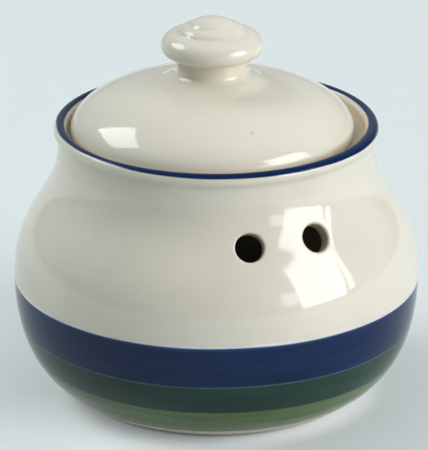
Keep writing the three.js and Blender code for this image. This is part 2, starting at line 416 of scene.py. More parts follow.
def jar_rows(jar, surface):
    """The rows of the jar's profile, and the first row of the vents' windows outside and inside.

    A window's rows are spaced evenly about the middle of the vent, and as far apart as its columns."""
    path = soften(jar_profile(jar), surface.softening)
    along = distances(path)
    outside = np.argmax(path[:, 1] > jar.vent_height)
    heading = directions(path)[outside]
    opposite = path[outside] + jar.wall * np.array((-heading[1], heading[0]))
    inside = np.argmin(np.linalg.norm(path - opposite, axis=1))
    half = path[outside, 0] * math.tau / surface.columns * surface.vent_cells / 2
    middles = along[outside], along[inside]
    windows = [np.linspace(middle - half, middle + half, surface.vent_cells + 1) for middle in middles]
    before = rows_between(path, 0, windows[0][0], surface)
    between = rows_between(path, windows[0][-1], windows[1][0], surface)
    after = rows_between(path, windows[1][-1], along[-1], surface)
    parts = [before[:-1], windows[0], between[1:-1], windows[1], after[1:]]
    starts = [len(before) - 1, sum(len(part) for part in parts[:3])]
    return points_at(path, np.concatenate(parts)), starts


# The lid's profile, from the middle of its hollow out, round the flange and rim and up over the dome


def dome_outside(lid):
    """The top of the dome, from its rim in to the axis."""
    angles = np.linspace(0, math.pi / 2, CURVE_POINTS)
    across = lid.rim_radius * np.clip(np.cos(angles), 0, 1) ** (2 / lid.dome_across)
    up = lid.rim_height + lid.dome_rise * np.sin(angles) ** (2 / lid.dome_up)
    return np.column_stack((across, up))


def hollow_profile(lid):
    """The hollow under the dome, from the axis out to the inside of the flange."""
    radius = lid.flange_radius - lid.flange_wall
    under = inwards(dome_outside(lid), lid.dome_wall)
    under = under[(under[:, 0] < radius - lid.dome_cove) & (under[:, 0] > 0)]
    edge = under[0]
    onwards = edge + (edge - under[1]) / np.linalg.norm(edge - under[1]) * lid.dome_cove / 2
    inside = (radius, edge[1] - lid.dome_cove)
    return [
        [(0, under[-1, 1])],
        under[::-1],
        sweep(edge, onwards, (radius, inside[1] + lid.dome_cove / 2), inside),
    ]


def flange_profile(lid):
    """The flange, the seat around it and the rim."""
    half = lid.flange_wall / 2
    middle = (lid.flange_radius - half, half - lid.flange_depth)
    cove = (lid.flange_radius + lid.flange_cove, -lid.flange_cove)
    return [
        arc(middle, half, half, 180, 360),
        arc(cove, lid.flange_cove, lid.flange_cove, 180, 90),
        arc((lid.rim_radius - lid.rim_round, lid.rim_round), lid.rim_round, lid.rim_round, -90, 0),
    ]


def crease_radius(lid):
    """Radius of the crease between the knob's neck and its rolled edge."""
    return lid.cap_radius + lid.ring_width + lid.roll_width - lid.roll_undercut


def knob_profile(lid, foot, up_dome):
    """The knob: a neck, a rolled edge, a ring and a cap."""
    crown = lid.rim_height + lid.dome_rise
    crease = (crease_radius(lid), crown + lid.neck_rise)
    neck = (crease[0] - lid.neck_waist, crown + lid.collar_rise + lid.fillet_up)
    collar = np.array((neck[0] + lid.fillet_across, crown + lid.collar_rise))
    down_collar = np.array((math.cos(lid.collar_slope), -math.sin(lid.collar_slope)))
    rise = up_dome * lid.collar_reach / 3
    tuck = down_collar * lid.fillet_across / 2
    roll = crease[1] + lid.roll_under
    ring = (lid.cap_radius + lid.ring_width, roll + lid.roll_over)
    cap = (lid.cap_radius, ring[1] + lid.ring_rise)
    return [
        sweep(foot, foot + rise, collar + tuck, collar),
        sweep(collar, collar - tuck, (neck[0], neck[1] - lid.fillet_up / 2), neck),
        [crease],
        arc((crease[0], roll), lid.roll_undercut, lid.roll_under, -math.degrees(lid.crease), 0),
        arc((ring[0], roll), lid.roll_width, lid.roll_over, 0, 90),
        [(ring[0], ring[1] - lid.groove)],
        arc((cap[0], ring[1]), lid.ring_width, lid.ring_rise, 0, 90),
        [(cap[0], cap[1] - lid.groove)],
        arc((0, cap[1]), lid.cap_radius, lid.cap_rise, 0, 90),
    ]


def lid_rows(lid, surface):
    """The rows of the lid's profile, measured from its seat."""
    dome = dome_outside(lid)
    dome = dome[dome[:, 0] > crease_radius(lid) + lid.collar_reach]
    knob = knob_profile(lid, dome[-1], directions(dome)[-1])
    path = np.concatenate([*hollow_profile(lid), *flange_profile(lid), dome, *knob])
    path = soften(path, surface.softening)

    # The glaze pools above the crease, so from there on the profile turns into a softer one
    softer = soften(path, surface.pooling)
    along = distances(path)
    pooled = points_at(softer, distances(softer)[-1] * along / along[-1])
    crease = lid.rim_height + lid.dome_rise + lid.neck_rise
    share = np.clip((path[:, 1] - crease) / lid.roll_under, 0, 1)[:, None]
    path = path + share * (pooled - path)
    return points_at(path, rows_between(path, 0, distances(path)[-1], surface))


# Node trees

SPLINE_STEPS = 12  # steps between two rows of a profile, for the vents' collars to follow its curve
SEAM_GAP = 0.002 * MM  # points nearer than this are made one, which closes seams and poles


def add_node(tree, kind, inputs=None, **settings):
    """Adds a node, with its settings, and with each input set to a value or linked from a socket."""
    node = tree.nodes.new(kind)
    for name, value in settings.items():
        setattr(node, name, value)
    for name, value in (inputs or {}).items():
        if isinstance(value, bpy.types.NodeSocket):
            tree.links.new(value, node.inputs[name])
        else:
            node.inputs[name].default_value = value
    return node


def new_form_tree(name, inputs):
    """A geometry node tree that takes a mesh and named inputs, and gives a mesh."""
    tree = bpy.data.node_groups.new(name, "GeometryNodeTree")
    tree.interface.new_socket("Geometry", in_out="INPUT", socket_type="NodeSocketGeometry")
    for label, kind in inputs.items():
        tree.interface.new_socket(label, in_out="INPUT", socket_type=kind)
    tree.interface.new_socket("Geometry", in_out="OUTPUT", socket_type="NodeSocketGeometry")
    return tree, add_node(tree, "NodeGroupInput").outputs


def smooth_profile(tree, profile):
    """The profile as a smooth curve through its rows."""
    chain = add_node(tree, "GeometryNodeMeshToCurve", {"Mesh": profile})
    spline = add_node(
        tree, "GeometryNodeCurveSplineType", {"Curve": chain.outputs[0]}, spline_type="CATMULL_ROM"
    )
    fine = add_node(
        tree,
        "GeometryNodeSetSplineResolution",
        {"Geometry": spline.outputs[0], "Resolution": SPLINE_STEPS},
    )
    return fine.outputs[0]


def turned_wall(tree, curve, columns):
    """The curve turned about Z: a grid with a row for each of the curve's points."""
    rows = add_node(
        tree, "GeometryNodeAttributeDomainSize", {"Geometry": curve}, component="CURVE"
    ).outputs[0]
    edges = add_node(tree, "FunctionNodeIntegerMath", {0: columns, 1: 1}, operation="ADD")
    grid = add_node(tree, "GeometryNodeMeshGrid", {"Vertices X": edges.outputs[0], "Vertices Y": rows})
    index = add_node(tree, "GeometryNodeInputIndex").outputs[0]
    column = add_node(tree, "FunctionNodeIntegerMath", {0: index, 1: rows}, operation="DIVIDE_FLOOR")
    row = add_node(tree, "FunctionNodeIntegerMath", {0: index, 1: rows}, operation="MODULO")
    place = add_node(tree, "GeometryNodeInputPosition").outputs[0]
    on_profile = add_node(
        tree,
        "GeometryNodeSampleIndex",
        {"Geometry": curve, "Value": place, "Index": row.outputs[0]},
        data_type="FLOAT_VECTOR",
    )
    share = add_node(tree, "ShaderNodeMath", {0: column.outputs[0], 1: columns}, operation="DIVIDE")
    turn = add_node(tree, "ShaderNodeMath", {0: share.outputs[0], 1: math.tau}, operation="MULTIPLY")
    turned = add_node(
        tree,
        "ShaderNodeVectorRotate",
        {"Vector": on_profile.outputs[0], "Angle": turn.outputs[0]},
        rotation_type="Z_AXIS",
    )
    wall = add_node(
        tree, "GeometryNodeSetPosition", {"Geometry": grid.outputs[0], "Position": turned.outputs[0]}
    )
    return wall.outputs[0], rows


def close_and_finish(tree, geometry, glaze):
    """Closes seams and poles, smooths the faces and gives them their glaze."""
    closed = add_node(tree, "GeometryNodeMergeByDistance", {"Geometry": geometry, "Distance": SEAM_GAP})
    smooth = add_node(tree, "GeometryNodeSetShadeSmooth", {"Geometry": closed.outputs[0]})
    real = add_node(tree, "GeometryNodeRealizeInstances", {"Geometry": smooth.outputs[0]})
    finished = add_node(tree, "GeometryNodeSetMaterial", {"Geometry": real.outputs[0], "Material": glaze})
    add_node(tree, "NodeGroupOutput", {"Geometry": finished.outputs[0]})


def lid_tree():
    """A turned form without openings."""
    tree, given = new_form_tree("turned lid", {"Columns": "NodeSocketInt", "Glaze": "NodeSocketMaterial"})
    wall, _ = turned_wall(tree, smooth_profile(tree, given["Geometry"]), given["Columns"])
    close_and_finish(tree, wall, given["Glaze"])
    return tree


def near(tree, value, middle, reach):
    """Whether a value lies within reach of a middle."""
    test = add_node(tree, "FunctionNodeCompare", operation="EQUAL", data_type="FLOAT")
    for name, source in {"A": value, "B": middle, "Epsilon": reach}.items():
        tree.links.new(source, test.inputs[name])
    return test.outputs[0]


def without_windows(tree, wall, rows, given):
    """The turned wall with a square window left open for each vent, outside and inside."""
    face = add_node(tree, "GeometryNodeInputIndex").outputs[0]
    row_cells = add_node(tree, "FunctionNodeIntegerMath", {0: rows, 1: 1}, operation="SUBTRACT").outputs[0]
    column = add_node(tree, "FunctionNodeIntegerMath", {0: face, 1: row_cells}, operation="DIVIDE_FLOOR")
    row = add_node(tree, "FunctionNodeIntegerMath", {0: face, 1: row_cells}, operation="MODULO")
    column_middle = add_node(tree, "ShaderNodeMath", {0: column.outputs[0], 1: 0.5}, operation="ADD")
    row_middle = add_node(tree, "ShaderNodeMath", {0: row.outputs[0], 1: 0.5}, operation="ADD").outputs[0]
    half = add_node(tree, "ShaderNodeMath", {0: given["Vent Cells"], 1: 0.5}, operation="MULTIPLY").outputs[0]
    quarter = add_node(
        tree, "ShaderNodeMath", {0: given["Columns"], 1: 0.25}, operation="MULTIPLY"
    ).outputs[0]
    minus = add_node(tree, "ShaderNodeMath", {0: quarter, 1: -1.0}, operation="MULTIPLY").outputs[0]

    # Columns from the middle of a pair: the pairs lie a quarter of a turn before and after azimuth 0
    from_back = add_node(
        tree, "ShaderNodeMath", {0: column_middle.outputs[0], 1: quarter}, operation="SUBTRACT"
    )
    from_pair = add_node(
        tree, "ShaderNodeMath", {0: from_back.outputs[0], 1: quarter, 2: minus}, operation="WRAP"
    )
    aside = add_node(tree, "ShaderNodeMath", {0: from_pair.outputs[0]}, operation="ABSOLUTE")
    spread = add_node(tree, "ShaderNodeMath", {0: given["Vent Spread"], 1: math.tau}, operation="DIVIDE")
    spread_columns = add_node(
        tree, "ShaderNodeMath", {0: spread.outputs[0], 1: given["Columns"]}, operation="MULTIPLY"
    )
    in_columns = near(tree, aside.outputs[0], spread_columns.outputs[0], half)
    in_rows = []
    for start in (given["Outside Row"], given["Inside Row"]):
        middle = add_node(tree, "ShaderNodeMath", {0: start, 1: half}, operation="ADD").outputs[0]
        in_rows.append(near(tree, row_middle, middle, half))
    on_a_side = add_node(tree, "FunctionNodeBooleanMath", {0: in_rows[0], 1: in_rows[1]}, operation="OR")
    window = add_node(
        tree, "FunctionNodeBooleanMath", {0: in_columns, 1: on_a_side.outputs[0]}, operation="AND"
    )
    open_wall = add_node(
        tree, "GeometryNodeDeleteGeometry", {"Geometry": wall, "Selection": window.outputs[0]}, domain="FACE"
    )
    return open_wall.outputs[0]


FLAT_ROWS = 5  # rows of a collar from its square edge in to the rounding of the vent
ROUND_ROWS = 7  # rows of a collar around that rounding
BORE_MARK = "bore"  # attribute that rises from 0 to 1 around the rounding and stays 1 inside the bore


def collar_grid(tree, cells):
    """A grid for a vent's collar: round the vent one way, and through the wall the other way.

    Gives the grid, the square that its edge follows, whether a point is on the inside of the wall, and the
    row, counted from that side's surface."""
    side_rows = FLAT_ROWS + ROUND_ROWS + 1
    around = add_node(tree, "FunctionNodeIntegerMath", {0: cells, 1: 4, 2: 1}, operation="MULTIPLY_ADD")
    grid = add_node(
        tree, "GeometryNodeMeshGrid", {"Vertices X": around.outputs[0], "Vertices Y": 2 * side_rows}
    )
    index = add_node(tree, "GeometryNodeInputIndex").outputs[0]
    step = add_node(tree, "FunctionNodeIntegerMath", {0: index, 1: 2 * side_rows}, operation="DIVIDE_FLOOR")
    through = add_node(tree, "FunctionNodeIntegerMath", {0: index, 1: 2 * side_rows}, operation="MODULO")
    inside = add_node(
        tree, "ShaderNodeMath", {0: through.outputs[0], 1: side_rows - 0.5}, operation="GREATER_THAN"
    )
    back = add_node(
        tree, "ShaderNodeMath", {0: 2 * side_rows - 1, 1: through.outputs[0]}, operation="SUBTRACT"
    )
    row = add_node(tree, "ShaderNodeMath", {0: through.outputs[0], 1: back.outputs[0]}, operation="MINIMUM")
    side = add_node(tree, "ShaderNodeMath", {0: step.outputs[0], 1: cells}, operation="DIVIDE")

    # Round the square in four sides: each coordinate is a zigzag between -2 and 2 that is cut off at -1 and
    # 1, and one runs a side behind the other
    square = add_node(tree, "ShaderNodeCombineXYZ")
    for axis, phase in enumerate((0.5, 1.5)):
        shifted = add_node(tree, "ShaderNodeMath", {0: side.outputs[0], 1: phase}, operation="ADD")
        wave = add_node(tree, "ShaderNodeMath", {0: shifted.outputs[0], 1: 2.0}, operation="PINGPONG")
        steep = add_node(
            tree, "ShaderNodeMath", {0: wave.outputs[0], 1: 2.0, 2: -2.0}, operation="MULTIPLY_ADD"
        )
        edge = add_node(tree, "ShaderNodeClamp", {"Value": steep.outputs[0], "Min": -1.0, "Max": 1.0})
        tree.links.new(edge.outputs[0], square.inputs[axis])
    return grid.outputs[0], square.outputs[0], inside.outputs[0], row.outputs[0]


def profile_length(tree, curve, row):
    """How far along the profile one of its rows lies."""
    along = add_node(tree, "GeometryNodeSplineParameter").outputs["Length"]
    at_row = add_node(
        tree, "GeometryNodeSampleIndex", {"Geometry": curve, "Value": along, "Index": row}, data_type="FLOAT"
    )
    return at_row.outputs[0]


def window_middle(tree, curve, start, cells):
    """How far along the profile the middle of a window lies."""
    end = add_node(tree, "FunctionNodeIntegerMath", {0: start, 1: cells}, operation="ADD").outputs[0]
    ends = [profile_length(tree, curve, row) for row in (start, end)]
    total = add_node(tree, "ShaderNodeMath", {0: ends[0], 1: ends[1]}, operation="ADD")
    return add_node(tree, "ShaderNodeMath", {0: total.outputs[0], 1: 0.5}, operation="MULTIPLY").outputs[0]


def vent_collar(tree, curve, given):
    """One vent at azimuth 0: a square of the wall that draws in to a circle, rolls over its edge and runs
    through the wall to a square on the other side."""
    cells = given["Vent Cells"]
    grid, square, inside, row = collar_grid(tree, cells)
    square_xy = add_node(tree, "ShaderNodeSeparateXYZ", {0: square}).outputs
    round_xy = add_node(
        tree,
        "ShaderNodeSeparateXYZ",
        {0: add_node(tree, "ShaderNodeVectorMath", {0: square}, operation="NORMALIZE").outputs[0]},
    ).outputs

    # From the square's edge to the circle, then over the rounded edge of the vent
    drawn_in = add_node(
        tree, "ShaderNodeMath", {0: row, 1: float(FLAT_ROWS)}, operation="DIVIDE", use_clamp=True
    )
    further = add_node(tree, "ShaderNodeMath", {0: row, 1: float(FLAT_ROWS)}, operation="SUBTRACT").outputs[0]
    rolled = add_node(
        tree, "ShaderNodeMath", {0: further, 1: float(ROUND_ROWS)}, operation="DIVIDE", use_clamp=True
    )
    roll = add_node(
        tree, "ShaderNodeMath", {0: rolled.outputs[0], 1: math.pi / 2}, operation="MULTIPLY"
    ).outputs[0]
    sine = add_node(tree, "ShaderNodeMath", {0: roll}, operation="SINE").outputs[0]
    cosine = add_node(tree, "ShaderNodeMath", {0: roll}, operation="COSINE").outputs[0]
    left = add_node(tree, "ShaderNodeMath", {0: 1.0, 1: sine}, operation="SUBTRACT").outputs[0]
    sunk = add_node(tree, "ShaderNodeMath", {0: 1.0, 1: cosine}, operation="SUBTRACT").outputs[0]
    bore = add_node(
        tree, "ShaderNodeMath", {0: given["Vent Diameter"], 1: 0.5}, operation="MULTIPLY"
    ).outputs[0]
    radius = add_node(
        tree, "ShaderNodeMath", {0: left, 1: given["Vent Edge"], 2: bore}, operation="MULTIPLY_ADD"
    ).outputs[0]
    depth = add_node(
        tree, "ShaderNodeMath", {0: sunk, 1: given["Vent Edge"]}, operation="MULTIPLY"
    ).outputs[0]

    # Along the profile, which runs up outside and down inside
    outwards = add_node(
        tree, "ShaderNodeMath", {0: inside, 1: -2.0, 2: 1.0}, operation="MULTIPLY_ADD"
    ).outputs[0]
    start = add_node(
        tree,
        "GeometryNodeSwitch",
        {"Switch": inside, "False": given["Outside Row"], "True": given["Inside Row"]},
        input_type="INT",
    ).outputs[0]
    upwards = add_node(tree, "ShaderNodeMath", {0: square_xy[1], 1: outwards}, operation="MULTIPLY")
    share = add_node(
        tree, "ShaderNodeMath", {0: upwards.outputs[0], 1: 0.5, 2: 0.5}, operation="MULTIPLY_ADD"
    )
    cell = add_node(
        tree, "ShaderNodeMath", {0: share.outputs[0], 1: cells, 2: start}, operation="MULTIPLY_ADD"
    )
    edge_row = add_node(tree, "ShaderNodeMath", {0: cell.outputs[0]}, operation="ROUND").outputs[0]
    edge_length = profile_length(tree, curve, edge_row)
    outside_middle = window_middle(tree, curve, given["Outside Row"], cells)
    inside_middle = window_middle(tree, curve, given["Inside Row"], cells)
    middle = add_node(
        tree,
        "GeometryNodeSwitch",
        {"Switch": inside, "False": outside_middle, "True": inside_middle},
        input_type="FLOAT",
    ).outputs[0]
    climb = add_node(tree, "ShaderNodeMath", {0: round_xy[1], 1: radius}, operation="MULTIPLY")
    circle_length = add_node(
        tree, "ShaderNodeMath", {0: climb.outputs[0], 1: outwards, 2: middle}, operation="MULTIPLY_ADD"
    ).outputs[0]
    at_length = add_node(
        tree, "ShaderNodeMix", {0: drawn_in.outputs[0], 2: edge_length, 3: circle_length}, data_type="FLOAT"
    ).outputs[0]
    place = add_node(
        tree, "GeometryNodeSampleCurve", {"Curves": curve, "Length": at_length}, mode="LENGTH"
    ).outputs["Position"]

    # Round the jar
    radius_there = add_node(tree, "ShaderNodeSeparateXYZ", {0: place}).outputs[0]
    column_turn = add_node(tree, "ShaderNodeMath", {0: math.pi, 1: given["Columns"]}, operation="DIVIDE")
    half_turn = add_node(tree, "ShaderNodeMath", {0: column_turn.outputs[0], 1: cells}, operation="MULTIPLY")
    edge_turn = add_node(
        tree, "ShaderNodeMath", {0: square_xy[0], 1: half_turn.outputs[0]}, operation="MULTIPLY"
    ).outputs[0]
    across = add_node(tree, "ShaderNodeMath", {0: round_xy[0], 1: radius}, operation="MULTIPLY")
    circle_turn = add_node(
        tree, "ShaderNodeMath", {0: across.outputs[0], 1: radius_there}, operation="DIVIDE"
    ).outputs[0]
    turn = add_node(
        tree, "ShaderNodeMix", {0: drawn_in.outputs[0], 2: edge_turn, 3: circle_turn}, data_type="FLOAT"
    ).outputs[0]
    turned = add_node(
        tree, "ShaderNodeVectorRotate", {"Vector": place, "Angle": turn}, rotation_type="Z_AXIS"
    ).outputs[0]

    # Into the wall, square to its outside
    up_wall = add_node(
        tree, "GeometryNodeSampleCurve", {"Curves": curve, "Length": outside_middle}, mode="LENGTH"
    ).outputs["Tangent"]
    inward = add_node(
        tree, "ShaderNodeVectorRotate", {"Vector": up_wall, "Angle": -math.pi / 2}, rotation_type="Y_AXIS"
    ).outputs[0]
    signed = add_node(tree, "ShaderNodeMath", {0: depth, 1: outwards}, operation="MULTIPLY").outputs[0]
    sink = add_node(tree, "ShaderNodeVectorMath", {0: inward, "Scale": signed}, operation="SCALE").outputs[0]
    moved = add_node(tree, "ShaderNodeVectorMath", {0: turned, 1: sink}, operation="ADD").outputs[0]
    collar = add_node(tree, "GeometryNodeSetPosition", {"Geometry": grid, "Position": moved})
    outwards_facing = add_node(tree, "GeometryNodeFlipFaces", {"Mesh": collar.outputs[0]})
    marked = add_node(
        tree,
        "GeometryNodeStoreNamedAttribute",
        {"Geometry": outwards_facing.outputs[0], "Name": BORE_MARK, "Value": rolled.outputs[0]},
        data_type="FLOAT",
        domain="POINT",
    )
    return marked.outputs[0]


VENT_PAIRS = 2


def placed_vents(tree, collar, given):
    """The collar at each vent: a pair at the back and a pair at the front."""
    points = add_node(tree, "GeometryNodePoints", {"Count": 2 * VENT_PAIRS})
    index = add_node(tree, "GeometryNodeInputIndex").outputs[0]
    pair = add_node(tree, "FunctionNodeIntegerMath", {0: index, 1: 2}, operation="DIVIDE_FLOOR").outputs[0]
    side = add_node(tree, "FunctionNodeIntegerMath", {0: index, 1: 2}, operation="MODULO").outputs[0]
    aside = add_node(tree, "ShaderNodeMath", {0: side, 1: 2.0, 2: -1.0}, operation="MULTIPLY_ADD")
    spread = add_node(
        tree, "ShaderNodeMath", {0: aside.outputs[0], 1: given["Vent Spread"]}, operation="MULTIPLY"
    )
    pair_turn = add_node(
        tree, "ShaderNodeMath", {0: pair, 1: math.tau / VENT_PAIRS, 2: math.pi / 2}, operation="MULTIPLY_ADD"
    )
    turn = add_node(tree, "ShaderNodeMath", {0: pair_turn.outputs[0], 1: spread.outputs[0]}, operation="ADD")
    rotation = add_node(
        tree,
        "FunctionNodeAxisAngleToRotation",
        {"Axis": (0.0, 0.0, 1.0), "Angle": turn.outputs[0]},
    )
    vents = add_node(
        tree,
        "GeometryNodeInstanceOnPoints",
        {"Points": points.outputs[0], "Instance": collar, "Rotation": rotation.outputs[0]},
    )
    return add_node(tree, "GeometryNodeRealizeInstances", {"Geometry": vents.outputs[0]}).outputs[0]


def jar_tree():
    """A turned form with a vent in each of its windows."""
    tree, given = new_form_tree(
        "turned jar with vents",
        {
            "Columns": "NodeSocketInt",
            "Vent Cells": "NodeSocketInt",
            "Outside Row": "NodeSocketInt",
            "Inside Row": "NodeSocketInt",
            "Vent Diameter": "NodeSocketFloat",
            "Vent Edge": "NodeSocketFloat",
            "Vent Spread": "NodeSocketFloat",
            "Glaze": "NodeSocketMaterial",
        },
    )
    curve = smooth_profile(tree, given["Geometry"])
    wall, rows = turned_wall(tree, curve, given["Columns"])
    open_wall = without_windows(tree, wall, rows, given)
    vents = placed_vents(tree, vent_collar(tree, curve, given), given)
    whole = add_node(tree, "GeometryNodeJoinGeometry", {"Geometry": open_wall})
    tree.links.new(vents, whole.inputs["Geometry"])
    close_and_finish(tree, whole.outputs[0], given["Glaze"])
    return tree


def turned_piece(name, rows, place, tree, inputs):
    """A mesh object made from a profile's rows by a node tree, with its place in its mesh."""
    mesh = bpy.data.meshes.new(name + "_profile")
    mesh.from_pydata([(r, 0, z) for r, z in rows], [(i, i + 1) for i in range(len(rows) - 1)], [])
    piece = bpy.data.objects.new(name, mesh)
    bpy.context.scene.collection.objects.link(piece)
    modifier = piece.modifiers.new("Form", "NODES")
    modifier.node_group = tree
    for item in tree.interface.items_tree:
        if item.item_type == "SOCKET" and item.in_out == "INPUT" and item.name in inputs:
            modifier[item.identifier] = inputs[item.name]
    evaluated = piece.evaluated_get(bpy.context.evaluated_depsgraph_get())
    made = bpy.data.meshes.new_from_object(evaluated)
    piece.modifiers.remove(modifier)
    made.transform(Matrix.Translation(place))
    made.name = name
    piece.data = made
    bpy.data.meshes.remove(mesh)
    return piece


# Materials: a Mix node takes its mask in socket 0, its numbers in 2 and 3 and its colours in 6 and 7, and
# gives a mixed colour in socket 2. A pattern's scale is how many of its marks lie in a metre.

NOISE_LOW, NOISE_HIGH = 0.3, 0.7  # nearly all of a noise pattern lies between these
NOISE_DETAIL = 2.0  # how many times its marks are halved
GLAZE_IOR = 1.52
GLAZE_ROUGHNESS, CLAY_ROUGHNESS = 0.08, 0.8
PATCH_SCALE = 33.0  # thick and thin patches of glaze, some 30 mm across
PATCH_DETAIL = 4.0  # halved so many times, they end in a faint cloudiness of 2 mm
PATCH_GRAIN = 0.55  # how strong each halving is beside the one before
THIN_PATCH, THICK_PATCH = 1.035, 0.965  # how bright they are
GROG_SCALE = 2000.0  # grains of grog, 0.5 mm
GROG_HEIGHT = 0.12 * MM
RIPPLE_SCALE = 110.0  # ripples, 9 mm apart
RIPPLE_DETAIL = 1.0
RIPPLE_HEIGHT = 0.03 * MM
# painted shade: over this height the bare clay darkens towards the mouth, where the lid shades the gallery
MOUTH_SHADE_FROM, MOUTH_SHADE_BLEND = 60 * MM, 10 * MM  # height over which bare clay turns browner towards the mouth
MOUTH_SHADE_SHARE = 0.45


def glazed_stoneware(name, glazes, painted, bare):
    """Glossy glaze over stoneware, with its fired clay left bare where the bare mask says.

    painted takes the tree and its coordinates and gives a colour and how strongly it reflects, and bare gives
    a mask. Glaze is a skin of glass some 0.3 mm thick: its reflections are sharp and waver a little with the
    skin's thickness, and its colour deepens where it lies thick."""
    material = bpy.data.materials.new(name)
    material.use_nodes = True
    tree = material.node_tree
    tree.nodes.clear()
    place = add_node(tree, "ShaderNodeTexCoord").outputs["Object"]
    unglazed = bare(tree, place)
    shade, gloss = painted(tree, place)

    # Thick and thin patches of the glaze
    patches = add_node(
        tree,
        "ShaderNodeTexNoise",
        {"Vector": place, "Scale": PATCH_SCALE, "Detail": PATCH_DETAIL, "Roughness": PATCH_GRAIN},
    )
    value = add_node(
        tree,
        "ShaderNodeMapRange",
        {
            "Value": patches.outputs[0],
            "From Min": NOISE_LOW,
            "From Max": NOISE_HIGH,
            "To Min": THICK_PATCH,
            "To Max": THIN_PATCH,
        },
    )
    mottled = add_node(tree, "ShaderNodeHueSaturation", {"Color": shade, "Value": value.outputs[0]})

    # Grains of grog in the bare clay, and painted shade that darkens it inside the vents' bores and around
    # the mouth
    grog = add_node(
        tree, "ShaderNodeTexNoise", {"Vector": place, "Scale": GROG_SCALE, "Detail": NOISE_DETAIL}
    ).outputs[0]
    clay = add_node(
        tree,
        "ShaderNodeMix",
        {0: grog, 6: tuple(glazes.clay_dark), 7: tuple(glazes.clay)},
        data_type="RGBA",
    )
    in_bore = add_node(tree, "ShaderNodeAttribute", attribute_name=BORE_MARK).outputs["Fac"]
    mouth_shade_mask = past(tree, height_of(tree, place), MOUTH_SHADE_FROM, MOUTH_SHADE_BLEND)
    # painted shade in the recesses: the bores, and in part the gallery around the mouth
    painted_recess_shade = either(tree, both(tree, mouth_shade_mask, MOUTH_SHADE_SHARE), in_bore)
    body = add_node(
        tree,
        "ShaderNodeMix",
        {0: unglazed, 6: mottled.outputs[0], 7: over(tree, clay.outputs[2], glazes.clay_in_shade, painted_recess_shade)},
        data_type="RGBA",
    )

    # Ripples in the glaze, and grains that stand out of the bare clay
    ripple = add_node(
        tree, "ShaderNodeTexNoise", {"Vector": place, "Scale": RIPPLE_SCALE, "Detail": RIPPLE_DETAIL}
    )
    rippled = add_node(
        tree, "ShaderNodeBump", {"Height": ripple.outputs[0], "Strength": 1.0, "Distance": RIPPLE_HEIGHT}
    )
    grain = both(tree, grog, unglazed)
    grained = add_node(
        tree,
        "ShaderNodeBump",
        {
            "Height": grain,
            "Strength": 1.0,
            "Distance": GROG_HEIGHT,
            "Normal": rippled.outputs[0],
        },
    )
    roughness = add_node(
        tree,
        "ShaderNodeMapRange",
        {"Value": unglazed, "To Min": GLAZE_ROUGHNESS, "To Max": CLAY_ROUGHNESS},
    )
    shader = add_node(
        tree,
        "ShaderNodeBsdfPrincipled",
        {
            "Base Color": body.outputs[2],
            "Roughness": roughness.outputs[0],
            "Normal": grained.outputs[0],
            "IOR": GLAZE_IOR,
            "Specular IOR Level": gloss,
        },
    )
    add_node(tree, "ShaderNodeOutputMaterial", {"Surface": shader.outputs[0]})
    return material


def height_of(tree, place):
    """Height above the table."""
    return add_node(tree, "ShaderNodeSeparateXYZ", {0: place}).outputs[2]


# How lines on the pot wander: how many waves lie in a metre, and how far they go up and down
BAND_WANDER = (14.0, 0.25 * MM)
LIP_WANDER = (20.0, 0.3 * MM)
FOOT_WANDER = (40.0, 0.2 * MM)
WIPED_WANDER = (40.0, 0.15 * MM)
THIN_WANDER = (40.0, 0.3 * MM)


def wandering(tree, place, wander):
    """The height, wandering a little as a line does that is brushed on a turning wheel."""
    scale, reach = wander
    noise = add_node(tree, "ShaderNodeTexNoise", {"Vector": place, "Scale": scale, "Detail": NOISE_DETAIL})
    shift = add_node(
        tree,
        "ShaderNodeMapRange",
        {
            "Value": noise.outputs[0],
            "From Min": NOISE_LOW,
            "From Max": NOISE_HIGH,
            "To Min": -reach,
            "To Max": reach,
        },
    )
    return add_node(
        tree, "ShaderNodeMath", {0: height_of(tree, place), 1: shift.outputs[0]}, operation="ADD"
    ).outputs[0]


def from_axis(tree, place, middle=(0.0, 0.0, 0.0)):
    """Distance from an upright axis through a point, which is the jar's own unless another is given."""
    aside = add_node(tree, "ShaderNodeVectorMath", {0: place, 1: middle}, operation="SUBTRACT")
    flat = add_node(
        tree, "ShaderNodeVectorMath", {0: aside.outputs[0], 1: (1.0, 1.0, 0.0)}, operation="MULTIPLY"
    )
    return add_node(tree, "ShaderNodeVectorMath", {0: flat.outputs[0]}, operation="LENGTH").outputs["Value"]


def past(tree, value, level, blend):
    """0 below a level and 1 above it, with a soft edge."""
    return add_node(
        tree,
        "ShaderNodeMapRange",
        {"Value": value, "From Min": level - blend / 2, "From Max": level + blend / 2},
    ).outputs[0]


def over(tree, under, shade, mask):
    """One colour laid over another by a mask."""
    above = shade if isinstance(shade, bpy.types.NodeSocket) else tuple(shade)
    return add_node(tree, "ShaderNodeMix", {0: mask, 6: under, 7: above}, data_type="RGBA").outputs[2]


def specks(tree, place, scale, radius, share):
    """Round specks scattered over a surface, in a share of the places for one."""
    cells = add_node(tree, "ShaderNodeTexVoronoi", {"Vector": place, "Scale": scale})
    spot = add_node(
        tree,
        "ShaderNodeMapRange",
        {"Value": cells.outputs["Distance"], "From Min": radius * scale, "From Max": 0.0},
    )
    chosen = add_node(tree, "ShaderNodeSeparateXYZ", {0: cells.outputs["Color"]})
    kept = add_node(tree, "ShaderNodeMath", {0: chosen.outputs[0], 1: 1.0 - share}, operation="GREATER_THAN")
    return both(tree, spot.outputs[0], kept.outputs[0])


def smudge(tree, place, middle, radius):
    """A soft round mark about a point."""
    apart = add_node(tree, "ShaderNodeVectorMath", {0: place, 1: middle}, operation="DISTANCE")
    return neither(tree, past(tree, apart.outputs["Value"], radius, radius))


SPECK_SCALE = 60.0  # places for a speck lie some 17 mm apart
SPECK_RADIUS = 0.35 * MM
SPECK_SHARE = 0.12  # one place in eight has one
SPECK_STRENGTH = 0.5


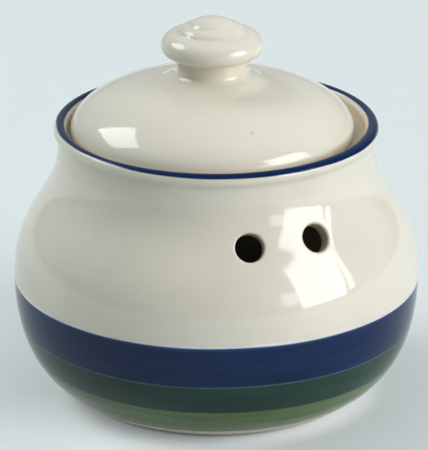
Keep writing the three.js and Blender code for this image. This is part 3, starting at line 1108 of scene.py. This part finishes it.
def cream_glaze(tree, place, glazes):
    """Cream glaze with a few iron specks from the clay under it."""
    mask = specks(tree, place, SPECK_SCALE, SPECK_RADIUS, SPECK_SHARE)
    return over(tree, tuple(glazes.cream), glazes.speck, both(tree, mask, SPECK_STRENGTH))


CREAM_GLOSS = 0.5  # a clear glass of index 1.5
COLOURED_GLOSS = 0.25  # glaze dulled by the metal oxides that colour it
LIP_GLOSS = 0.12  # the same, where it runs thin over an edge


def band_stops(glazes):
    """Heights and colours of the glazes up the outside of the jar, each running a little into the next."""
    g = glazes
    return [
        (g.foot_line, g.toast),
        (g.foot_line + 0.1 * MM, g.toast),
        (g.foot_line + 0.4 * MM, g.sage),
        (g.sage_top - 0.25 * MM, g.sage),
        (g.sage_top + 0.25 * MM, g.green),
        (g.green_top - 0.35 * MM, g.green),
        (g.green_top - 0.1 * MM, g.line),
        (g.green_top + 0.1 * MM, g.line),
        (g.green_top + 0.35 * MM, g.navy),
        (g.navy_top - 1.3 * MM, g.navy),
        (g.navy_top - 0.25 * MM, g.navy_edge),
        (g.navy_top + 0.1 * MM, g.halo),
        (g.navy_top + 0.4 * MM, g.halo),
        (g.navy_top + 0.9 * MM, g.cream),
    ]


def banded_glaze(jar, glazes):
    """Sage, dark green and navy bands up the outside, cream above them, and a navy lip."""

    def painted(tree, place):
        cream = cream_glaze(tree, place, glazes)
        stops = band_stops(glazes)
        top = stops[-1][0]
        height = wandering(tree, place, BAND_WANDER)
        share = add_node(tree, "ShaderNodeMath", {0: height, 1: top}, operation="DIVIDE")
        ramp = add_node(tree, "ShaderNodeValToRGB", {0: share.outputs[0]})
        marks = ramp.color_ramp.elements
        marks[0].position = stops[0][0] / top
        for level, _ in stops[1:-1]:
            marks.new(level / top)
        for mark, (_, shade) in zip(marks, stops):
            mark.color = tuple(shade)
        below = add_node(tree, "ShaderNodeMath", {0: height, 1: top}, operation="LESS_THAN").outputs[0]
        banded = both(tree, below, outside_of(tree, place, jar))
        body = over(tree, cream, brushed(tree, place, ramp.outputs[0]), banded)
        navy, edge = lip_masks(tree, place, jar, glazes)
        gloss = CREAM_GLOSS
        for mask, duller in ((banded, COLOURED_GLOSS), (navy, LIP_GLOSS)):
            mixed = add_node(tree, "ShaderNodeMix", {0: mask, 2: gloss, 3: duller}, data_type="FLOAT")
            gloss = mixed.outputs[0]
        return over(tree, over(tree, body, glazes.navy_edge, edge), glazes.navy, navy), gloss

    return painted


STREAK_SCALE = 40.0  # streaks of the brush, 25 mm long
STREAK_FLATNESS = 12.0  # how many times longer than high they are, which makes them 2 mm high
DARK_STREAK, LIGHT_STREAK = 0.8, 1.2  # how bright they are


def brushed(tree, place, shade):
    """A colour with the streaks that a brush leaves on a turning pot."""
    flat = add_node(
        tree, "ShaderNodeVectorMath", {0: place, 1: (1.0, 1.0, STREAK_FLATNESS)}, operation="MULTIPLY"
    )
    noise = add_node(
        tree,
        "ShaderNodeTexNoise",
        {"Vector": flat.outputs[0], "Scale": STREAK_SCALE, "Detail": NOISE_DETAIL},
    )
    value = add_node(
        tree,
        "ShaderNodeMapRange",
        {
            "Value": noise.outputs[0],
            "From Min": NOISE_LOW,
            "From Max": NOISE_HIGH,
            "To Min": DARK_STREAK,
            "To Max": LIGHT_STREAK,
        },
    )
    return add_node(tree, "ShaderNodeHueSaturation", {"Color": shade, "Value": value.outputs[0]}).outputs[0]


LIP_TURN = 0.4 * MM  # width over the top of the lip in which its outside turns into its inside
LIP_EDGE = 0.3 * MM  # width over which its navy ends
FRINGE_DROP, FRINGE_EDGE = 0.1 * MM, 0.35 * MM  # how far its thin fringe reaches below that, and how softly


def lip_masks(tree, place, jar, glazes):
    """Where the lip is navy, and where that has its thin fringe. The lip was dipped a little askew."""
    tilt = add_node(
        tree,
        "ShaderNodeVectorMath",
        {0: place, 1: (glazes.lip_tilt / (2 * jar.neck_radius), 0.0, 0.0)},
        operation="DOT_PRODUCT",
    ).outputs["Value"]
    middle = lip_middle(jar)[0][0]
    outside = past(tree, from_axis(tree, place), middle, LIP_TURN)
    height = add_node(
        tree,
        "ShaderNodeMath",
        {0: tilt, 1: outside, 2: wandering(tree, place, LIP_WANDER)},
        operation="MULTIPLY_ADD",
    ).outputs[0]
    level = add_node(
        tree, "ShaderNodeMapRange", {"Value": outside, "To Min": glazes.lip_inside, "To Max": glazes.lip_line}
    ).outputs[0]
    above = add_node(tree, "ShaderNodeMath", {0: height, 1: level}, operation="SUBTRACT").outputs[0]
    return past(tree, above, 0.0, LIP_EDGE), past(tree, above, -FRINGE_DROP, FRINGE_EDGE)


WALL_STEP = CURVE_POINTS // 10  # one in so many points of the wall's middle is enough to follow it
WALL_EDGE = 0.2 * MM  # width over which its outside turns into its inside


def outside_of(tree, place, jar):
    """1 on the outside of the bowl and 0 on its inside, told apart by the middle of its wall."""
    middle = inwards(body_outside(jar), jar.wall / 2)
    top, widest = middle[-1, 1], middle[:, 0].max()
    share = add_node(tree, "ShaderNodeMath", {0: height_of(tree, place), 1: top}, operation="DIVIDE")
    wall = add_node(tree, "ShaderNodeFloatCurve", {"Value": share.outputs[0]})
    points = wall.mapping.curves[0].points
    chosen = middle[::WALL_STEP]
    points[0].location = chosen[0, 1] / top, chosen[0, 0] / widest
    points[1].location = 1.0, middle[-1, 0] / widest
    for radius, height in chosen[1:-1]:
        points.new(height / top, radius / widest)
    wall.mapping.update()
    beyond = add_node(
        tree,
        "ShaderNodeMath",
        {0: wall.outputs[0], 1: -widest, 2: from_axis(tree, place)},
        operation="MULTIPLY_ADD",
    )
    return past(tree, beyond.outputs[0], 0.0, WALL_EDGE)


def both(tree, one, other):
    """Where two masks overlap, or a mask at a share of its strength."""
    return add_node(tree, "ShaderNodeMath", {0: one, 1: other}, operation="MULTIPLY").outputs[0]


def either(tree, one, other):
    """Where there is at least one of two masks."""
    return add_node(tree, "ShaderNodeMath", {0: one, 1: other}, operation="MAXIMUM").outputs[0]


def neither(tree, mask):
    """Where a mask is 0."""
    return add_node(tree, "ShaderNodeMath", {0: 1.0, 1: mask}, operation="SUBTRACT").outputs[0]


FOOT_EDGE = 0.25 * MM  # width over which the glaze ends above the foot
WIPED_EDGE = 0.4 * MM  # width over which it ends where it was wiped off
MOUTH_GLAZED = 1.0 * MM  # strip of cream left on the mouth's side under the navy
MOUTH_MARGIN = 0.8 * MM  # how far into the mouth's wall the wiped part reaches
BORE_START, BORE_BLEND = 0.85, 0.2  # where on a vent's rounded edge its bare bore starts, and how softly


def bare_jar_clay(jar, glazes):
    """The foot, the ledge and mouth wall, which were wiped clean so that the lid doesn't stick, and the bores
    of the vents."""

    def bare(tree, place):
        foot = neither(tree, past(tree, wandering(tree, place, FOOT_WANDER), glazes.foot_line, FOOT_EDGE))
        ledge = ledge_height(jar)
        mouth = jar.neck_radius - jar.mouth_wall
        height = wandering(tree, place, WIPED_WANDER)
        above = past(tree, height, ledge - jar.throat_round, WIPED_EDGE)
        below = neither(tree, past(tree, height, glazes.lip_inside - MOUTH_GLAZED, WIPED_EDGE))
        within = neither(tree, past(tree, from_axis(tree, place), mouth + MOUTH_MARGIN, WIPED_EDGE))
        gallery = both(tree, both(tree, above, below), within)
        wiped = either(tree, foot, gallery)
        mark = add_node(tree, "ShaderNodeAttribute", attribute_name=BORE_MARK).outputs["Fac"]
        return either(tree, wiped, past(tree, mark, BORE_START, BORE_BLEND))

    return bare


THIN_RIM, THIN_RIM_EDGE = 2.4 * MM, 2.6 * MM  # how far up the rim the glaze runs thin, and how softly
THIN_RIM_SHARE = 0.65
# the thin glaze laid on the knob's neck is painted shade and warm reflected light under the roll
NECK_SHADE_SHARE = 0.25
FLECK = (-2.7 * MM, -36.5 * MM, 100.3 * MM)  # a grey fleck on the front of the dome
FLECK_RADIUS = 0.8 * MM
FLECK_STRENGTH = 0.28


def lid_glaze(lid, glazes, place_of_lid):
    """Cream glaze that runs thin on the rim, with painted shade around the crease under the knob."""

    def painted(tree, place):
        cream = cream_glaze(tree, place, glazes)
        height = wandering(tree, place, THIN_WANDER)
        rim = neither(tree, past(tree, height, place_of_lid.z + THIN_RIM, THIN_RIM_EDGE))
        crease = place_of_lid.z + lid.rim_height + lid.dome_rise + lid.neck_rise
        # Painted shade under the knob's roll: the thin-glaze colour tints the neck where the roll shades it
        neck = both(
            tree,
            past(tree, height, crease - lid.neck_rise / 2, lid.neck_rise / 2),
            neither(tree, past(tree, height, crease + lid.roll_under / 2, lid.roll_under)),
        )
        fleck = both(tree, smudge(tree, place, FLECK, FLECK_RADIUS), FLECK_STRENGTH)
        cream = over(tree, cream, glazes.speck, fleck)
        on_rim = both(tree, rim, THIN_RIM_SHARE)
        painted_neck_shade = both(tree, neck, NECK_SHADE_SHARE)
        return over(tree, over(tree, cream, glazes.thin, on_rim), glazes.thin, painted_neck_shade), CREAM_GLOSS

    return painted


WIPED_RIM = 0.7 * MM  # how far up the rim the glaze was wiped off


def bare_lid_clay(lid, place_of_lid):
    """The seat and the outside of the flange."""

    def bare(tree, place):
        height = wandering(tree, place, WIPED_WANDER)
        below = neither(tree, past(tree, height, place_of_lid.z + WIPED_RIM, WIPED_EDGE))
        centre = (place_of_lid.x, place_of_lid.y, 0.0)
        flange = lid.flange_radius - lid.flange_wall / 2
        return both(tree, below, past(tree, from_axis(tree, place, centre), flange, WIPED_EDGE))

    return bare


# Pieces


def lid_place(lid):
    """Where the middle of the lid's seat lies, below the top of the knob."""
    middle = (LID_LOW + LID_HIGH) / 2
    knob = lid.neck_rise + lid.roll_under + lid.roll_over + lid.ring_rise + lid.cap_rise
    return Vector((middle.x, middle.y, LID_HIGH.z - lid.rim_height - lid.dome_rise - knob))


class KEEPER_OT_turn_jar(bpy.types.Operator):
    """Turns the jar, sets its vents and glazes it"""

    bl_idname = "keeper.turn_jar"
    bl_label = "Turn Jar"

    def execute(self, context):
        scene = context.scene
        jar, surface, glazes = scene.keeper_jar, scene.keeper_surface, scene.keeper_glazes
        rows, (outside_row, inside_row) = jar_rows(jar, surface)
        # Reduction-fired stoneware with brushed bands: a clear, sharp gloss over smooth, deep colour
        glaze = glazed_stoneware(
            "glazed banded stoneware", glazes, banded_glaze(jar, glazes), bare_jar_clay(jar, glazes)
        )
        piece = turned_piece(
            "glazed_jar",
            rows,
            Vector((0, 0, 0)),
            jar_tree(),
            {
                "Columns": surface.columns,
                "Vent Cells": surface.vent_cells,
                "Outside Row": outside_row,
                "Inside Row": inside_row,
                "Vent Diameter": jar.vent_diameter,
                "Vent Edge": jar.vent_edge,
                "Vent Spread": jar.vent_spread,
                "Glaze": glaze,
            },
        )
        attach(piece, "jar")
        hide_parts("jar")
        return {"FINISHED"}


class KEEPER_OT_turn_lid(bpy.types.Operator):
    """Turns the lid with its knob, and glazes it"""

    bl_idname = "keeper.turn_lid"
    bl_label = "Turn Lid"

    def execute(self, context):
        scene = context.scene
        lid, surface, glazes = scene.keeper_lid, scene.keeper_surface, scene.keeper_glazes
        place = lid_place(lid)
        # The same stoneware in plain cream: glossy all over but for the ring that rests on the jar
        glaze = glazed_stoneware(
            "glazed cream stoneware", glazes, lid_glaze(lid, glazes, place), bare_lid_clay(lid, place)
        )
        piece = turned_piece(
            "glazed_lid",
            lid_rows(lid, surface),
            place,
            lid_tree(),
            {"Columns": surface.columns, "Glaze": glaze},
        )
        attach(piece, "lid")
        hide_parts("lid")
        return {"FINISHED"}


# Stage

FLOOR_REACH = 6.0  # metres from the keeper to the floor's edges
SENSOR_WIDTH = 36.0  # millimetres, a full frame

# Panes of light that face the keeper, as they are seen from there: where the middle lies, from the camera's
# direction and over the horizon, width and height, all in degrees, then how bright a pane looks and its tint
WINDOWS = {
    "window_right": (62.5, 19, 30, 36, 7.3, "#FCFBFF"),
    "window_right_side": (81.5, 17, 4, 28, 6.0, "#FCFBFF"),
    "window_right_low": (43, 12, 11, 12, 3.6, "#FCFBFF"),
    "window_left": (-113, 43, 32, 23, 5.7, "#FBFCFF"),
    "ceiling": (10, 58, 80, 55, 0.22, "#FFFFFF"),
}
NOT_MIRRORED = "ceiling"  # it stands for light from all over the room, which has no edges to mirror


def window_pane(stage, name, azimuth, rise, wide, high, radiance, tint):
    """A pane of light that faces the keeper."""
    towards = direction(stage.view_turn + math.radians(azimuth), math.radians(rise))
    data = bpy.data.lights.new(name, "AREA")
    data.shape = "RECTANGLE"
    data.size = 2 * stage.window_distance * math.tan(math.radians(wide / 2))
    data.size_y = 2 * stage.window_distance * math.tan(math.radians(high / 2))
    data.energy = radiance * math.pi * data.size * data.size_y
    data.color = linear(tint)[:3]
    pane = bpy.data.objects.new(name, data)
    bpy.context.scene.collection.objects.link(pane)
    pane.location = towards * stage.window_distance + Vector((0, 0, stage.view_height))
    pane.rotation_euler = towards.to_track_quat("Z", "Y").to_euler()
    pane.visible_camera = False
    pane.visible_glossy = name != NOT_MIRRORED


PAPER_ROUGHNESS = 0.6
PAPER_GLOSS = 0.1
# painted contact shadow: the paper's glow is left out close around the foot
CONTACT, CONTACT_EDGE = 45 * MM, 3 * MM  # the paper isn't lit from below nearer the axis than this

# Light that the glaze throws onto the paper: its direction, in degrees from the camera's, and how many
# millimetres from the axis it starts, is full, fades and ends
SPILLS = {-28: (48, 56, 60, 84), 50: (43, 46, 50, 57)}
SPILL_SIDE, SPILL_EDGE = 0.8, 0.4  # cosine of how far it spreads to either side, and how softly it ends there


def spill(tree, place, turn, rings):
    """Light that the glaze throws onto the paper on one side, as a mask."""
    distance = from_axis(tree, place)
    aside = add_node(
        tree, "ShaderNodeVectorMath", {0: place, 1: direction(turn, 0)}, operation="DOT_PRODUCT"
    ).outputs["Value"]
    facing = add_node(tree, "ShaderNodeMath", {0: aside, 1: distance}, operation="DIVIDE").outputs[0]
    start, full, fade, end = (ring * MM for ring in rings)
    starts = past(tree, distance, (start + full) / 2, full - start)
    ends = neither(tree, past(tree, distance, (fade + end) / 2, end - fade))
    return both(tree, past(tree, facing, SPILL_SIDE, SPILL_EDGE), both(tree, starts, ends))


def backlit_paper(stage):
    """Pale paper with a satin finish, lit from below as well, which keeps the shadows on it soft.

    Close around the foot it isn't, and that leaves a dark line of contact. What lights it from below doesn't
    light the keeper: it only shows in the picture and in reflections."""
    paper = bpy.data.materials.new("satin backdrop paper")
    paper.use_nodes = True
    tree = paper.node_tree
    tree.nodes.clear()
    path = add_node(tree, "ShaderNodeLightPath").outputs
    mirrored = either(tree, path["Is Glossy Ray"], path["Is Transmission Ray"])
    seen = either(tree, path["Is Camera Ray"], mirrored)
    place = add_node(tree, "ShaderNodeTexCoord").outputs["Object"]
    # painted contact shadow: the glow stops close around the foot, which leaves a dark line there
    beside_foot = past(tree, from_axis(tree, place), CONTACT, CONTACT_EDGE)
    level = both(tree, beside_foot, stage.backlight)
    for azimuth, rings in SPILLS.items():
        thrown = spill(tree, place, stage.view_turn + math.radians(azimuth), rings)
        level = add_node(
            tree, "ShaderNodeMath", {0: thrown, 1: stage.spilled, 2: level}, operation="MULTIPLY_ADD"
        ).outputs[0]
    shader = add_node(
        tree,
        "ShaderNodeBsdfPrincipled",
        {
            "Base Color": tuple(stage.paper),
            "Roughness": PAPER_ROUGHNESS,
            "Specular IOR Level": PAPER_GLOSS,
            "Emission Color": tuple(stage.backdrop),
            "Emission Strength": both(tree, seen, level),
        },
    )
    add_node(tree, "ShaderNodeOutputMaterial", {"Surface": shader.outputs[0]})
    return paper


GLOW_FULL = 0.9  # cosine of how near to its palest direction the room is as pale as it gets


def studio_room(stage):
    """A room that is dim behind the camera and pale behind the keeper."""
    world = bpy.data.worlds.new("studio room")
    world.use_nodes = True
    tree = world.node_tree
    tree.nodes.clear()
    glow = direction(stage.view_turn + stage.glow_turn, stage.glow_rise)
    place = add_node(tree, "ShaderNodeTexCoord").outputs["Generated"]
    facing = add_node(tree, "ShaderNodeVectorMath", {0: place, 1: glow}, operation="DOT_PRODUCT")
    level = add_node(
        tree,
        "ShaderNodeMapRange",
        {
            "Value": facing.outputs["Value"],
            "From Min": 0.0,
            "From Max": GLOW_FULL,
            "To Min": stage.room_dim,
            "To Max": stage.room_pale,
        },
        interpolation_type="SMOOTHSTEP",
    )
    room = add_node(tree, "ShaderNodeBackground", {"Color": tuple(stage.room), "Strength": level.outputs[0]})
    add_node(tree, "ShaderNodeOutputWorld", {"Surface": room.outputs[0]})
    return world


class KEEPER_OT_set_stage(bpy.types.Operator):
    """Sets the floor, the lights and the camera"""

    bl_idname = "keeper.set_stage"
    bl_label = "Set Stage"

    def execute(self, context):
        scene = context.scene
        stage = scene.keeper_stage

        mesh = bpy.data.meshes.new("floor")
        signs = ((-1, -1), (1, -1), (1, 1), (-1, 1))
        mesh.from_pydata([(x * FLOOR_REACH, y * FLOOR_REACH, 0) for x, y in signs], [], [(0, 1, 2, 3)])
        mesh.materials.append(backlit_paper(stage))
        floor = bpy.data.objects.new("floor", mesh)
        scene.collection.objects.link(floor)

        for name, pane in WINDOWS.items():
            window_pane(stage, name, *pane)
        scene.world = studio_room(stage)

        data = bpy.data.cameras.new("camera")
        data.sensor_width = SENSOR_WIDTH
        data.lens = stage.lens
        camera = bpy.data.objects.new("camera", data)
        scene.collection.objects.link(camera)
        right = direction(stage.view_turn + math.pi / 2, 0)
        back = direction(stage.view_turn, stage.view_rise)
        looked_at = right * stage.view_shift + Vector((0, 0, stage.view_height))
        camera.location = looked_at + back * stage.view_distance
        facing = back.to_track_quat("Z", "Y").to_matrix().to_4x4()
        camera.rotation_euler = (facing @ Matrix.Rotation(stage.view_roll, 4, "Z")).to_euler()
        scene.camera = camera
        scene.view_settings.view_transform = "Standard"
        return {"FINISHED"}


# Add-on


class KEEPER_PT_panel(bpy.types.Panel):
    """Lists the steps that build the keeper"""

    bl_label = "Garlic Keeper"
    bl_idname = "KEEPER_PT_panel"
    bl_space_type = "VIEW_3D"
    bl_region_type = "UI"
    bl_category = "Keeper"

    def draw(self, context):
        for operator in OPERATORS:
            self.layout.operator(operator.bl_idname)


OPERATORS = (KEEPER_OT_turn_jar, KEEPER_OT_turn_lid, KEEPER_OT_set_stage)


def register():
    for cls in (*PROPERTY_GROUPS.values(), *OPERATORS, KEEPER_PT_panel):
        bpy.utils.register_class(cls)
    for name, group in PROPERTY_GROUPS.items():
        setattr(bpy.types.Scene, name, bpy.props.PointerProperty(type=group))


def unregister():
    for name in PROPERTY_GROUPS:
        delattr(bpy.types.Scene, name)
    for cls in reversed((*PROPERTY_GROUPS.values(), *OPERATORS, KEEPER_PT_panel)):
        bpy.utils.unregister_class(cls)


def main():
    register()
    bpy.ops.keeper.turn_jar()
    bpy.ops.keeper.turn_lid()
    bpy.ops.keeper.set_stage()


if __name__ == "__main__":
    main()
